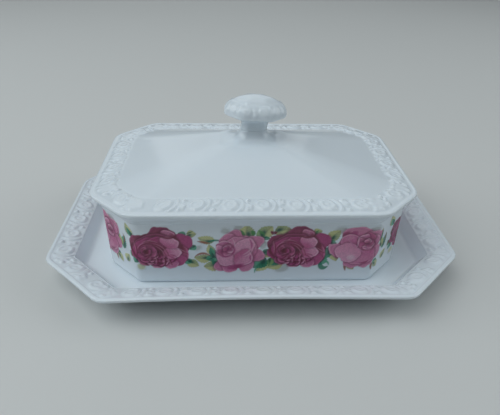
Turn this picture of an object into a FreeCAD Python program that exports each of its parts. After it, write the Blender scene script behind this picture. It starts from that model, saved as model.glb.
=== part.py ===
import FreeCAD, Part
import math
import os

# Covered butter dish in glazed porcelain, in millimetres.
# The origin is the middle of the foot's underside. X is the long way, Y the short way, Z is up.
# Each outline is a rectangle with its corners cut at 45 degrees. Moving such an outline out or in
# by one distance gives every other ring of the same piece.

# ---------------------------------------------------------------- tray
TRAY_LENGTH = 240.0          # over the rim, X
TRAY_WIDTH = 170.0           # over the rim, Y
TRAY_CORNER = 37.0           # leg of the rim's 45 degree corner
TRAY_ROUND = 9.0             # plan radius where two sides of the rim meet
TRAY_HEIGHT = 18.7           # table to the top of the rim's lip
RIM_EDGE = 2.2               # thickness of the rim's nose
RIM_THICK = 4.0              # porcelain under the relief band
LIP_WIDTH = 2.8              # plain raised lip outside the relief band
LIP_RISE = 0.7               # lip above the relief band
TRAY_BAND = 11.7             # width of the relief band
TRAY_BAND_DROP = 3.5         # fall of the band from the lip to the well
WELL_SLOPE = 5.2             # plan width of the well's wall
FLOOR_TOP = 6.8              # height of the well's floor
FLOOR_THICK = 3.8            # porcelain under the floor
FOOT_WIDTH = 3.2             # width of the foot ring
FOOT_SET_IN = 1.6            # foot ring behind the edge of the tray's underside

# ---------------------------------------------------------------- cover
END_ROOM = 15.5              # floor left free beyond each end of the cover
SIDE_ROOM = 8.5              # floor left free beyond each long side of the cover
SEAT_GAP = 0.05              # the cover's foot above the floor it stands on
COVER_CORNER = 19.0          # corner of the wall at its foot
COVER_ROUND = 6.0            # plan radius of the wall's upright edges
WALL_HEIGHT = 46.8           # from the cover's foot to the underside of the cornice
WALL_THICK = 3.2
WALL_LEAN = 1.5              # the wall leans out by this much up to the cove
COVE_HEIGHT = 6.0            # hollow moulding between the wall and the cornice
CORNICE_REACH = 5.5          # cornice beyond the top of the wall
CORNICE_EDGE = 2.8           # thickness of the cornice's nose
CORNICE_ROUND = 9.0          # plan radius of the cornice's corners
CORNICE_LIP = 2.6            # plain lip outside the cornice's relief band
CORNICE_BAND = 12.4          # width of that band
CORNICE_BAND_RISE = 1.5      # rise of that band towards the roof
ROOF_RISE = 13.8             # hipped roof, from the band to the knob's landing
ROOF_THICK = 3.9

# ---------------------------------------------------------------- knob
NECK_LENGTH = 15.0           # at the waist of the neck, X
NECK_WIDTH = 11.2
NECK_CORNER = 3.0
NECK_HEIGHT = 8.5            # from the luted joint to the underside of the cap
NECK_SPREAD = 1.3            # the neck widens by this much at its foot
LANDING_OVER = 12.6          # landing on the roof beyond the waist of the neck, X
LANDING_SIDE = 7.6           # the same, Y
LANDING_CORNER = 3.8
FLARE_HEIGHT = 6.9           # hollow flare from the landing up to the luted joint
KNOB_LENGTH = 37.0
KNOB_WIDTH = 27.0
KNOB_CORNER = 8.5
KNOB_SHOULDER = 8.5          # height of the cap's side, up to the step round its dome
KNOB_DOME = 4.1              # height of the dome on top of the cap
KNOB_DOME_INSET = 5.2        # dome behind the cap's side

# ---------------------------------------------------------------- rose transfers
FILM = 0.10                  # thickness of a fired transfer
SPRAY_LOW = 6.0              # bare wall under a spray
SPRAY_HIGH = 5.0             # bare wall between a spray and the cove
SPRAY_SIDE = 0.8             # bare wall beside a spray, at each upright edge
SIDE_ROSES = 4               # roses on a long side
END_ROSES = 2                # roses on an end
LEAF_BAND = 15.0             # height of the leaves that join the roses

# ---------------------------------------------------------------- worked out from the sizes above
CUT_SHARE = 2.0 - math.sqrt(2.0)     # a 45 degree corner grows by this share of an outward move
LEAST_ROUND = 2.5                    # least plan radius of a moulded corner
NOSE_ROUND = 0.9                     # softening of an edge, in section

well_inset = LIP_WIDTH + TRAY_BAND + WELL_SLOPE
cover_x = TRAY_LENGTH / 2 - well_inset - END_ROOM
cover_y = TRAY_WIDTH / 2 - well_inset - SIDE_ROOM
cover_foot = FLOOR_TOP + SEAT_GAP
cove_foot = cover_foot + WALL_HEIGHT - COVE_HEIGHT
cornice_under = cover_foot + WALL_HEIGHT
cornice_top = cornice_under + CORNICE_EDGE
cornice_out = WALL_LEAN + CORNICE_REACH
band_out = cornice_out - CORNICE_LIP
band_in = band_out - CORNICE_BAND
roof_foot = cornice_top + CORNICE_BAND_RISE
landing = roof_foot + ROOF_RISE
landing_x = NECK_LENGTH / 2 + LANDING_OVER
landing_y = NECK_WIDTH / 2 + LANDING_SIDE
joint = landing + FLARE_HEIGHT
cap_under = joint + NECK_HEIGHT


def outline(half_x, half_y, corner, radius, z):
    """Closed wire: a rectangle with 45 degree corners, each of its eight turns rounded."""
    plan = [(half_x, corner - half_y), (half_x, half_y - corner),
            (half_x - corner, half_y), (corner - half_x, half_y),
            (-half_x, half_y - corner), (-half_x, corner - half_y),
            (corner - half_x, -half_y), (half_x - corner, -half_y)]
    points = [FreeCAD.Vector(x, y, z) for x, y in plan]
    shortest = min((points[i] - points[i - 1]).Length for i in range(8))
    half_turn = math.tan(math.radians(22.5))
    back = min(radius * half_turn, 0.45 * shortest)
    edges = []
    for i in range(8):
        here, after, beyond = points[i], points[(i + 1) % 8], points[(i + 2) % 8]
        into = (here - points[i - 1]).normalize()
        out = (after - here).normalize()
        onward = (beyond - after).normalize()
        start, end = here - into * back, here + out * back
        centre = start + FreeCAD.Vector(-into.y, into.x, 0) * (back / half_turn)
        middle = centre + (here - centre).normalize() * (back / half_turn)
        edges.append(Part.Arc(start, middle, end).toShape())
        edges.append(Part.makeLine(end, after - out * back))
    return Part.Wire(edges)


def moved(half_x, half_y, corner, radius, out, z):
    """The same outline moved outwards by out, or inwards where out is negative."""
    return outline(half_x + out, half_y + out, corner + CUT_SHARE * out,
                   max(radius + out, LEAST_ROUND), z)


def stack(rings):
    """Solid through a pile of outlines, with straight walls from each to the next."""
    return Part.makeLoft(rings, True, True)


def tray_ring(inset, z):
    return moved(TRAY_LENGTH / 2, TRAY_WIDTH / 2, TRAY_CORNER, TRAY_ROUND, -inset, z)


def cover_ring(out, z):
    return moved(cover_x, cover_y, COVER_CORNER, COVER_ROUND, out, z)


def make_tray():
    rim_under = TRAY_HEIGHT - RIM_EDGE
    band_top = TRAY_HEIGHT - LIP_RISE
    band_low = band_top - TRAY_BAND_DROP
    band_inset = LIP_WIDTH + TRAY_BAND
    base = FLOOR_TOP - FLOOR_THICK
    base_inset = well_inset - NOSE_ROUND
    body = stack([
        tray_ring(base_inset, base),
        tray_ring(base_inset - 2 * NOSE_ROUND, base + NOSE_ROUND),
        tray_ring(band_inset - NOSE_ROUND, band_low - RIM_THICK),
        tray_ring(NOSE_ROUND, rim_under),
        tray_ring(0, rim_under + NOSE_ROUND / 2),
        tray_ring(0, TRAY_HEIGHT - NOSE_ROUND),
        tray_ring(NOSE_ROUND, TRAY_HEIGHT)])
    well = stack([
        tray_ring(well_inset, FLOOR_TOP),
        tray_ring(well_inset - NOSE_ROUND, FLOOR_TOP + NOSE_ROUND),
        tray_ring(band_inset + NOSE_ROUND / 2, band_low - NOSE_ROUND),
        tray_ring(band_inset, band_low),
        tray_ring(LIP_WIDTH, band_top),
        tray_ring(LIP_WIDTH - LIP_RISE, TRAY_HEIGHT),
        tray_ring(LIP_WIDTH - LIP_RISE, TRAY_HEIGHT + 1)])
    foot_inset = base_inset + FOOT_SET_IN
    overlap = FLOOR_THICK / 2
    foot = stack([tray_ring(foot_inset + NOSE_ROUND / 2, 0), tray_ring(foot_inset, NOSE_ROUND),
                  tray_ring(foot_inset, base + overlap)])
    hollow = stack([tray_ring(foot_inset + FOOT_WIDTH, -1), tray_ring(foot_inset + FOOT_WIDTH, base)])
    return body.cut(well).fuse(foot).cut(hollow)


def flare_rings():
    """Hollow quarter curve from the landing on the roof up to the luted joint of the knob."""
    top_x = NECK_LENGTH / 2 + NECK_SPREAD
    top_y = NECK_WIDTH / 2 + NECK_SPREAD
    rings = []
    steps = 6
    for step in range(1, steps + 1):
        turn = math.pi / 2 * step / steps
        share = math.sin(turn)
        half_x = landing_x + (top_x - landing_x) * share
        half_y = landing_y + (top_y - landing_y) * share
        corner = LANDING_CORNER + (NECK_CORNER - LANDING_CORNER) * share
        rings.append(outline(half_x, half_y, corner, LEAST_ROUND, joint - FLARE_HEIGHT * math.cos(turn)))
    return rings


def make_cover_shell():
    cove_out = cornice_out - WALL_LEAN
    outer = [
        cover_ring(-NOSE_ROUND, cover_foot),
        cover_ring(0, cover_foot + NOSE_ROUND),
        cover_ring(WALL_LEAN, cove_foot),
        cover_ring(WALL_LEAN + 0.10 * cove_out, cove_foot + 0.15 * COVE_HEIGHT),
        cover_ring(WALL_LEAN + 0.20 * cove_out, cove_foot + 0.60 * COVE_HEIGHT),
        cover_ring(WALL_LEAN + 0.45 * cove_out, cove_foot + 0.90 * COVE_HEIGHT),
        cover_ring(cornice_out - NOSE_ROUND, cornice_under),
        cover_ring(cornice_out, cornice_under + NOSE_ROUND),
        cover_ring(cornice_out, cornice_top - NOSE_ROUND),
        cover_ring(cornice_out - NOSE_ROUND, cornice_top),
        cover_ring(band_out, cornice_top + NOSE_ROUND / 4),
        cover_ring(band_in, roof_foot),
        outline(landing_x, landing_y, LANDING_CORNER, LEAST_ROUND, landing)]
    inner = [
        cover_ring(-WALL_THICK, cover_foot - 1),
        cover_ring(-WALL_THICK, cover_foot + NOSE_ROUND),
        cover_ring(WALL_LEAN - WALL_THICK, cove_foot),
        cover_ring(WALL_LEAN - WALL_THICK, cornice_top - ROOF_THICK - WALL_THICK / 2),
        cover_ring(band_in, roof_foot - ROOF_THICK),
        outline(landing_x, landing_y, LANDING_CORNER, LEAST_ROUND, landing - ROOF_THICK)]
    return stack(outer + flare_rings()).cut(stack(inner))


def make_cover_knob():
    half_x, half_y = KNOB_LENGTH / 2, KNOB_WIDTH / 2
    shoulder = cap_under + KNOB_SHOULDER

    def neck_ring(out, z):
        return moved(NECK_LENGTH / 2, NECK_WIDTH / 2, NECK_CORNER - CUT_SHARE * NECK_SPREAD,
                     LEAST_ROUND, out, z)

    def cap_ring(inset, z):
        return moved(half_x, half_y, KNOB_CORNER, 2 * LEAST_ROUND, -inset, z)

    rings = [
        outline(NECK_LENGTH / 2 + NECK_SPREAD, NECK_WIDTH / 2 + NECK_SPREAD, NECK_CORNER,
                LEAST_ROUND, joint),
        neck_ring(0.3 * NECK_SPREAD, joint + 0.2 * NECK_HEIGHT),
        neck_ring(0, joint + 0.4 * NECK_HEIGHT),
        neck_ring(NECK_SPREAD / 2, cap_under - 0.1 * NECK_HEIGHT),
        neck_ring(2 * NECK_SPREAD, cap_under),
        cap_ring(NOSE_ROUND, cap_under + NOSE_ROUND / 3),
        cap_ring(0, cap_under + NOSE_ROUND)]
    for share in (0.35, 0.5, 0.65, 0.8, 0.92):
        bulge = 1 - math.sqrt(1 - (share - 0.1) ** 2)
        rings.append(cap_ring(bulge * KNOB_DOME_INSET * 1.4, cap_under + share * KNOB_SHOULDER))
    rings.append(cap_ring(KNOB_DOME_INSET, shoulder))
    steps = 6
    for step in range(1, steps + 1):
        turn = math.radians(80) * step / steps
        size = math.cos(turn)
        rings.append(outline((half_x - KNOB_DOME_INSET) * size, (half_y - KNOB_DOME_INSET) * size,
                             (KNOB_CORNER - CUT_SHARE * KNOB_DOME_INSET) * size, LEAST_ROUND,
                             shoulder + KNOB_DOME * math.sin(turn) / math.sin(math.radians(80))))
    return stack(rings)


def make_transfer(across, along, length, roses):
    """One fired spray on a flat side of the wall: round rose films joined by a band of leaves.
    across is the plan vector from the origin to the middle of that side at the cover's foot,
    along is the unit vector of the side."""
    out = FreeCAD.Vector(along.y, -along.x, 0)
    up = (out * (WALL_LEAN / (WALL_HEIGHT - COVE_HEIGHT - NOSE_ROUND))
          + FreeCAD.Vector(0, 0, 1)).normalize()
    normal = along.cross(up).normalize()
    foot = across + FreeCAD.Vector(0, 0, cover_foot + NOSE_ROUND)
    low = SPRAY_LOW
    high = WALL_HEIGHT - COVE_HEIGHT - SPRAY_HIGH
    pitch = (length - 2 * SPRAY_SIDE) / roses
    radius = min(high - low, pitch) / 2
    middle = foot + up * ((low + high) / 2)
    leaf_height = min(LEAF_BAND, 2 * radius)
    start = middle - along * (length / 2 - SPRAY_SIDE) - up * (leaf_height / 2)
    run = along * (length - 2 * SPRAY_SIDE)
    corners = [start, start + run, start + run + up * leaf_height, start + up * leaf_height, start]
    film = Part.Face(Part.makePolygon(corners)).extrude(normal * FILM)
    for number in range(roses):
        centre = middle + along * ((number - (roses - 1) / 2) * pitch)
        film = film.fuse(Part.makeCylinder(radius, FILM, centre, normal))
    return film.removeSplitter()


def make_transfers():
    """A film for each of the wall's eight flat sides, named by where it is."""
    trim = COVER_ROUND * math.tan(math.radians(22.5))
    corner_length = COVER_CORNER * math.sqrt(2.0) - 2 * trim
    diagonal = math.sqrt(0.5)
    mid_x, mid_y = cover_x - COVER_CORNER / 2, cover_y - COVER_CORNER / 2
    sides = {
        "front": (0, -cover_y, 1, 0, 2 * (cover_x - COVER_CORNER - trim), SIDE_ROSES),
        "back": (0, cover_y, -1, 0, 2 * (cover_x - COVER_CORNER - trim), SIDE_ROSES),
        "right": (cover_x, 0, 0, 1, 2 * (cover_y - COVER_CORNER - trim), END_ROSES),
        "left": (-cover_x, 0, 0, -1, 2 * (cover_y - COVER_CORNER - trim), END_ROSES),
        "front_right": (mid_x, -mid_y, diagonal, diagonal, corner_length, 1),
        "back_right": (mid_x, mid_y, -diagonal, diagonal, corner_length, 1),
        "back_left": (-mid_x, mid_y, -diagonal, -diagonal, corner_length, 1),
        "front_left": (-mid_x, -mid_y, diagonal, -diagonal, corner_length, 1)}
    films = {}
    for name, (x, y, along_x, along_y, length, roses) in sides.items():
        films["transfer_" + name] = make_transfer(
            FreeCAD.Vector(x, y, 0), FreeCAD.Vector(along_x, along_y, 0), length, roses)
    return films


os.makedirs("parts", exist_ok=True)
nodes = {"tray": make_tray(), "cover_shell": make_cover_shell(), "cover_knob": make_cover_knob()}
nodes.update(make_transfers())
for name, shape in nodes.items():
    solids = shape.Solids
    print(name, "solids", len(solids), "valid", shape.isValid(), "volume", round(shape.Volume, 1),
          "z", round(shape.BoundBox.ZMin, 2), round(shape.BoundBox.ZMax, 2))
    shape = solids[0] if len(solids) == 1 else shape
    shape.exportStep("parts/" + name + ".step")
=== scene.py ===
import math
import bpy
import numpy as np
from mathutils import Matrix, Vector


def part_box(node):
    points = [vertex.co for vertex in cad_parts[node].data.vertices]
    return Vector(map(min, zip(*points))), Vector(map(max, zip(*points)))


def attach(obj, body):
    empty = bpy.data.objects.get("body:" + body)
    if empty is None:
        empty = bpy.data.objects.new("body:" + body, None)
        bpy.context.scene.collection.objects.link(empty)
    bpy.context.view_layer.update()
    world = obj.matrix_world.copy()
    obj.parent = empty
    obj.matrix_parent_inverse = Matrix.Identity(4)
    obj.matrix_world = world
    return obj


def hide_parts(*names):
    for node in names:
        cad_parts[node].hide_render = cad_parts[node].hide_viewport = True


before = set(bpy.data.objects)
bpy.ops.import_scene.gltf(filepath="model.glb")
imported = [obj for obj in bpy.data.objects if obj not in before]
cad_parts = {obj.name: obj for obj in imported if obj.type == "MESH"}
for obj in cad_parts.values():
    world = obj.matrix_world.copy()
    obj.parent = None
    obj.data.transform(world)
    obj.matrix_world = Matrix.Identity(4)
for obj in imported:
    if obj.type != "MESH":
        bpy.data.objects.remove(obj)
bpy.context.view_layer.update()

# ---------------------------------------------------------------------------------------------
# The tray. A long eight-sided dish of hard porcelain, pressed in one piece: foot ring, sunk well,
# sloping rim with a moulded garland of fruit and leaves, and a plain rounded lip. It is glazed
# all over but for the ring that it stood on in the kiln.
MM = 0.001
tray_low, tray_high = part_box("tray")
TRAY_HALF = ((tray_high.x - tray_low.x) / 2, (tray_high.y - tray_low.y) / 2)
TRAY_CORNER = 37.0 * MM
TRAY_ROUND = 9.0 * MM
LIP_TOP = tray_high.z
LIP_WIDTH = 2.8 * MM
BAND_WIDTH = 11.7 * MM
BAND_DROP = 3.5 * MM
WELL_FLOOR = 6.8 * MM
BAND_ROWS = 34
ROW_STEP = 6 * MM
CUT_SHARE = 2 - math.sqrt(2)
HALF_TURN = math.tan(math.pi / 8)


def ring(half_x, half_y, corner, radius, height, places):
    """Points round a rectangle with 45 degree corners. Place 2k is the start of side k, counted from
    the front side towards +X, and 2k + 1 the start of the rounded turn after it."""
    angle = np.arange(8) * math.pi / 4 - math.pi / 2
    normal = np.stack([np.cos(angle), np.sin(angle)], 1)
    tangent = np.stack([-np.sin(angle), np.cos(angle)], 1)
    slant = (half_x + half_y - corner) / math.sqrt(2)
    reach = np.array([half_y, slant, half_x, slant] * 2)
    past = (np.roll(reach, -1) - reach * math.sqrt(0.5)) / math.sqrt(0.5)
    bend = normal * reach[:, None] + tangent * past[:, None]
    side = np.linalg.norm(bend - np.roll(bend, 1, 0), axis=1)
    back = min(radius * HALF_TURN, 0.48 * side.min())
    start = np.roll(bend, 1, 0) + tangent * back
    end = bend - tangent * back
    centre = end - normal * back / HALF_TURN
    stretch = np.floor(places).astype(int) % 16
    share = (places - np.floor(places))[:, None]
    k = stretch // 2
    on_side = start[k] * (1 - share) + end[k] * share
    turned = angle[k] + share[:, 0] * math.pi / 4
    on_turn = centre[k] + np.stack([np.cos(turned), np.sin(turned)], 1) * back / HALF_TURN
    flat = np.where((stretch % 2 == 0)[:, None], on_side, on_turn)
    return np.column_stack([flat, np.full(len(places), height)])


def set_out(half_x, half_y, corner, radius, step):
    """Places for a ring's points, about a step apart and a multiple of four on every stretch."""
    marks = ring(half_x, half_y, corner, radius, 0, np.arange(17) % 16 * 1.0)
    places = []
    for k in range(16):
        count = max(8, 4 * round(np.linalg.norm(marks[k + 1] - marks[k]) / step / 4))
        places.append(k + np.arange(count) / count)
    return np.concatenate(places)


def profile(points, bends=6):
    """Rows along a section. A point is (out, height) or (out, height, rounding of that bend)."""
    rows = [np.array(points[0][:2])]
    for i in range(1, len(points)):
        here = np.array(points[i][:2])
        turn = [here]
        if i < len(points) - 1 and len(points[i]) > 2:
            into, onward = here - np.array(points[i - 1][:2]), np.array(points[i + 1][:2]) - here
            before, after = np.linalg.norm(into), np.linalg.norm(onward)
            reach = min(points[i][2], 0.48 * before, 0.48 * after)
            first, last = here - into / before * reach, here + onward / after * reach
            turn = [(1 - t) ** 2 * first + 2 * t * (1 - t) * here + t * t * last
                    for t in np.linspace(0, 1, bends)]
        run = turn[0] - rows[-1]
        pieces = max(1, math.ceil(np.linalg.norm(run) / ROW_STEP))
        rows += [rows[-1] + run * n / pieces for n in range(1, pieces)] + turn
    return rows


def put(name, data):
    """Adds an object to the scene."""
    piece = bpy.data.objects.new(name, data)
    bpy.context.scene.collection.objects.link(piece)
    return piece


def shell(name, rings):
    """Closed mesh through rings of points. A ring may have four times the next one's points, or a
    quarter of them. The first and last rings are closed with a flat face."""
    starts = np.cumsum([0] + [len(r) for r in rings])
    faces = [list(range(len(rings[0])))]
    for i in range(len(rings) - 1):
        a, b, n, m = starts[i], starts[i + 1], len(rings[i]), len(rings[i + 1])
        if n == m:
            j = np.arange(n)
            faces += np.stack([a + j, b + j, b + (j + 1) % n, a + (j + 1) % n], 1).tolist()
            continue
        few = min(n, m)
        dense, sparse = (a, b) if n > m else (b, a)
        for j in range(few):
            fine = [dense + (4 * j + q) % (4 * few) for q in range(5)]
            near, far = sparse + j, sparse + (j + 1) % few
            fan = [(fine[0], near, fine[1]), (fine[1], near, fine[2]), (fine[2], near, far),
                   (fine[2], far, fine[3]), (fine[3], far, fine[4])]
            faces += [t if n > m else t[::-1] for t in fan]
    faces.append(list(range(starts[-1] - 1, starts[-2] - 1, -1)))
    mesh = bpy.data.meshes.new(name)
    mesh.from_pydata(np.concatenate(rings).tolist(), [], faces)
    mesh.polygons.foreach_set("use_smooth", [True] * len(mesh.polygons))
    return put(name, mesh)


def points_of(piece):
    flat = np.empty(len(piece.data.vertices) * 3, np.float32)
    piece.data.vertices.foreach_get("co", flat)
    return flat.reshape(-1, 3)


def tray_rings(rows, places):
    return [ring(TRAY_HALF[0] + out, TRAY_HALF[1] + out, TRAY_CORNER + CUT_SHARE * out,
                 max(TRAY_ROUND + 0.6 * out, 2.5 * MM), height, places) for out, height in rows]


def mark_band(piece, rings, first, width):
    """Stores on the points of a relief band how far along and across the unrolled band they lie, and
    how much of the relief they take. Returns how far along each point lies, and the whole way."""
    middle = rings[len(rings) // 2]
    along = np.concatenate([[0], np.cumsum(np.linalg.norm(np.diff(middle, axis=0), axis=1))])
    total = along[-1] + np.linalg.norm(middle[0] - middle[-1])
    strip = np.zeros((len(piece.data.vertices), 3), np.float32)
    columns = len(middle)
    for row in range(len(rings)):
        here = slice(first + row * columns, first + (row + 1) * columns)
        across = row / (len(rings) - 1)
        edge = min(1.0, min(across, 1 - across) * width / (1.3 * MM))
        strip[here, 0] = along
        strip[here, 1] = (across - 0.5) * width
        strip[here, 2] = edge ** 2 * (3 - 2 * edge)
    piece.data.attributes.new("strip", "FLOAT_VECTOR", "POINT").data.foreach_set("vector", strip.ravel())
    return along, total


# The moulding's own shapes: a round fruit with seeds and a rim, a ribbed leaf, a berry, a fan of
# ribs and a leaf that curls round one side of a fruit.
def moulded(name, columns, rows, surface):
    """A small open relief shape from surface(across, along), both running from 0 to 1."""
    s, t = np.meshgrid(np.linspace(0, 1, columns), np.linspace(0, 1, rows))
    x, y, z = surface(s.ravel(), t.ravel())
    cells = [(r * columns + c, r * columns + c + 1, (r + 1) * columns + c + 1, (r + 1) * columns + c)
             for r in range(rows - 1) for c in range(columns - 1)]
    mesh = bpy.data.meshes.new(name)
    mesh.from_pydata(np.column_stack([x, y, z]).tolist(), [], cells)
    return put(name, mesh)


def fruit_surface(s, t):
    turn = 2 * math.pi * s
    lobes = np.abs(np.cos(3 * turn))
    radius = 5.2 * MM * t * (1 + 0.04 * lobes)
    rim = 0.62 * np.exp(-((t - 0.66) / 0.20) ** 2) * (0.80 + 0.20 * lobes)
    seeds = 0.13 * np.cos(14 * turn) * np.exp(-((t - 0.52) / 0.16) ** 2)
    height = 0.50 + rim + seeds + 0.40 * np.exp(-(t / 0.20) ** 2)
    return radius * np.cos(turn), radius * np.sin(turn), height * (1 - t ** 5) * MM


def curl_surface(s, t):
    """A ribbed leaf that curls round one side of a fruit."""
    side, turn = 2 * s - 1, (t - 0.5) * math.radians(132)
    radius = (6.9 + 1.25 * side * np.sin(math.pi * np.clip(t, 0.02, 0.98)) ** 0.6) * MM
    ribs = 0.14 * np.cos(2 * math.pi * (8 * t + 0.6 * side))
    ends = np.sin(math.pi * np.clip(t, 0.02, 0.98)) ** 0.4
    height = np.sqrt(np.clip(1 - side ** 4, 0, 1)) * (0.86 + ribs) * ends
    return radius * np.cos(turn), radius * np.sin(turn), height * MM


def leaf_surface(s, t):
    side = 2 * s - 1
    reach = 8.4 * MM * (t - 0.5)
    width = 1.9 * MM * np.sin(math.pi * t ** 0.8) ** 0.7 * (1 + 0.06 * np.cos(14 * math.pi * t))
    vein = np.exp(-(side / 0.15) ** 2)
    ribs = np.cos(2 * math.pi * (4.5 * t - 1.2 * np.abs(side)))
    height = np.sqrt(np.clip(1 - side ** 4, 0, 1)) * (0.80 - 0.36 * vein + 0.14 * ribs)
    return reach, side * width, height * np.sin(math.pi * np.clip(t, 0.02, 0.98)) ** 0.35 * MM


def berry_surface(s, t):
    turn, radius = 2 * math.pi * s, 1.5 * MM * t
    return radius * np.cos(turn), radius * np.sin(turn), 1.05 * np.sqrt(np.clip(1 - t * t, 0, 1)) * MM


def fan_surface(s, t):
    """Five ribs side by side, spreading from the band's inner edge out to the lip."""
    spread = (s - 0.5) * math.radians(78)
    reach = (3.0 + 9.0 * t) * MM
    rib = np.abs(np.sin(5 * math.pi * s)) ** 0.8
    height = (0.15 + 0.72 * rib) * np.sin(math.pi * np.clip(t, 0.03, 0.97)) ** 0.45
    return reach * np.sin(spread), reach * np.cos(spread) - 7.6 * MM, height * MM


SHAPES = ("Fruit", "Leaf", "Berry", "Fan", "Curl")
FRUIT, LEAF, BERRY, FAN, CURL = range(5)
shapes = [moulded("fruit", 57, 15, fruit_surface), moulded("leaf", 15, 29, leaf_surface),
          moulded("berry", 17, 7, berry_surface), moulded("fan", 51, 15, fan_surface),
          moulded("curl", 11, 65, curl_surface)]


def wire(tree, node_type, inputs=None, **settings):
    """Adds a node, sets its properties and fills its inputs with links or plain values."""
    made = tree.nodes.new(node_type)
    for key, value in settings.items():
        setattr(made, key, value)
    for key, value in (inputs or {}).items():
        if isinstance(value, bpy.types.NodeSocket):
            tree.links.new(value, made.inputs[key])
        else:
            made.inputs[key].default_value = value
    return made


def maths(tree, operation, a, b):
    return wire(tree, "ShaderNodeMath", {0: a, 1: b}, operation=operation).outputs[0]


def named(tree, name, kind="FLOAT"):
    return wire(tree, "GeometryNodeInputNamedAttribute", {"Name": name}, data_type=kind).outputs[0]


def garland_tree():
    """Sets the moulding's shapes out on the unrolled band, reads their height under every point of the
    clay and raises it there, softened as the glaze softens it."""
    tree = bpy.data.node_groups.new("moulded garland", "GeometryNodeTree")
    for name, kind in (("Clay", "Geometry"), ("Spots", "Object"), *((name, "Object") for name in SHAPES),
                       ("Height", "Float"), ("Softening", "Int"), ("Hand", "Float"), ("Seed", "Int"),
                       ("Glaze", "Material")):
        tree.interface.new_socket(name, in_out="INPUT", socket_type="NodeSocket" + kind)
    tree.interface.new_socket("Clay", in_out="OUTPUT", socket_type="NodeSocketGeometry")
    given = tree.nodes.new("NodeGroupInput").outputs
    spots = wire(tree, "GeometryNodeObjectInfo", {"Object": given["Spots"]}).outputs["Geometry"]
    kind = named(tree, "kind", "INT")
    stretch = named(tree, "stretch", "FLOAT_VECTOR")
    least = maths(tree, "MULTIPLY", given["Hand"], -1.0)
    wander = wire(tree, "FunctionNodeRandomValue", {2: least, 3: given["Hand"], "Seed": given["Seed"]},
                  data_type="FLOAT").outputs[1]
    turned = maths(tree, "ADD", named(tree, "turn"), wander)
    facing = wire(tree, "ShaderNodeCombineXYZ", {"Z": turned}).outputs[0]
    rotation = wire(tree, "FunctionNodeEulerToRotation", {0: facing}).outputs[0]
    strip = tree.nodes.new("GeometryNodeJoinGeometry")
    for number, name in enumerate(SHAPES):
        shape = wire(tree, "GeometryNodeObjectInfo", {"Object": given[name]}, transform_space="ORIGINAL")
        chosen = wire(tree, "FunctionNodeCompare", {2: kind, 3: number}, data_type="INT", operation="EQUAL")
        placed = wire(tree, "GeometryNodeInstanceOnPoints", {
            "Points": spots, "Selection": chosen.outputs[0], "Instance": shape.outputs["Geometry"],
            "Rotation": rotation, "Scale": stretch})
        tree.links.new(placed.outputs[0], strip.inputs[0])
    whole = wire(tree, "GeometryNodeRealizeInstances", {0: strip.outputs[0]}).outputs[0]
    parts = wire(tree, "ShaderNodeSeparateXYZ", {0: named(tree, "strip", "FLOAT_VECTOR")}).outputs
    above = wire(tree, "ShaderNodeCombineXYZ", {"X": parts["X"], "Y": parts["Y"], "Z": 5 * MM}).outputs[0]
    feel = wire(tree, "GeometryNodeRaycast", {
        "Target Geometry": whole, "Source Position": above, "Ray Direction": (0, 0, -1),
        "Ray Length": 5 * MM})
    met = wire(tree, "ShaderNodeSeparateXYZ", {0: feel.outputs["Hit Position"]}).outputs["Z"]
    raised = wire(tree, "GeometryNodeSwitch", {"Switch": feel.outputs["Is Hit"], "False": 0.0, "True": met},
                  input_type="FLOAT").outputs[0]
    held = wire(tree, "GeometryNodeStoreNamedAttribute", {
        "Geometry": given["Clay"], "Name": "relief", "Value": maths(tree, "MULTIPLY", raised, parts["Z"])},
        data_type="FLOAT").outputs[0]
    relief = named(tree, "relief")
    soft = wire(tree, "GeometryNodeBlurAttribute", {0: relief, "Iterations": given["Softening"]},
                data_type="FLOAT").outputs[0]
    stored = wire(tree, "GeometryNodeStoreNamedAttribute", {
        "Geometry": held, "Name": "relief", "Value": soft}, data_type="FLOAT").outputs[0]
    lift = maths(tree, "MULTIPLY", relief, given["Height"])
    normal = tree.nodes.new("GeometryNodeInputNormal").outputs[0]
    offset = wire(tree, "ShaderNodeVectorMath", {0: normal, "Scale": lift}, operation="SCALE").outputs[0]
    pressed = wire(tree, "GeometryNodeSetPosition", {"Geometry": stored, "Offset": offset}).outputs[0]
    solid = wire(tree, "GeometryNodeRealizeInstances", {0: pressed}).outputs[0]
    glazed = wire(tree, "GeometryNodeSetMaterial", {"Geometry": solid, "Material": given["Glaze"]})
    wire(tree, "NodeGroupOutput", {0: glazed.outputs[0]})
    return tree


garland = garland_tree()

# How far, in radians, a shape set out by hand strays from its turn.
HAND = 0.08


def spot_cloud(name, spots):
    """The places of a band's moulded shapes: (kind, along, across, turn in degrees, stretch)."""
    mesh = bpy.data.meshes.new(name)
    mesh.from_pydata([(s[1], s[2], 0) for s in spots], [], [])
    mesh.attributes.new("kind", "INT", "POINT").data.foreach_set("value", [s[0] for s in spots])
    turns = [math.radians(s[3]) for s in spots]
    mesh.attributes.new("turn", "FLOAT", "POINT").data.foreach_set("value", turns)
    flat = [v for s in spots for v in s[4]]
    mesh.attributes.new("stretch", "FLOAT_VECTOR", "POINT").data.foreach_set("vector", flat)
    return put(name, mesh)


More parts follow.
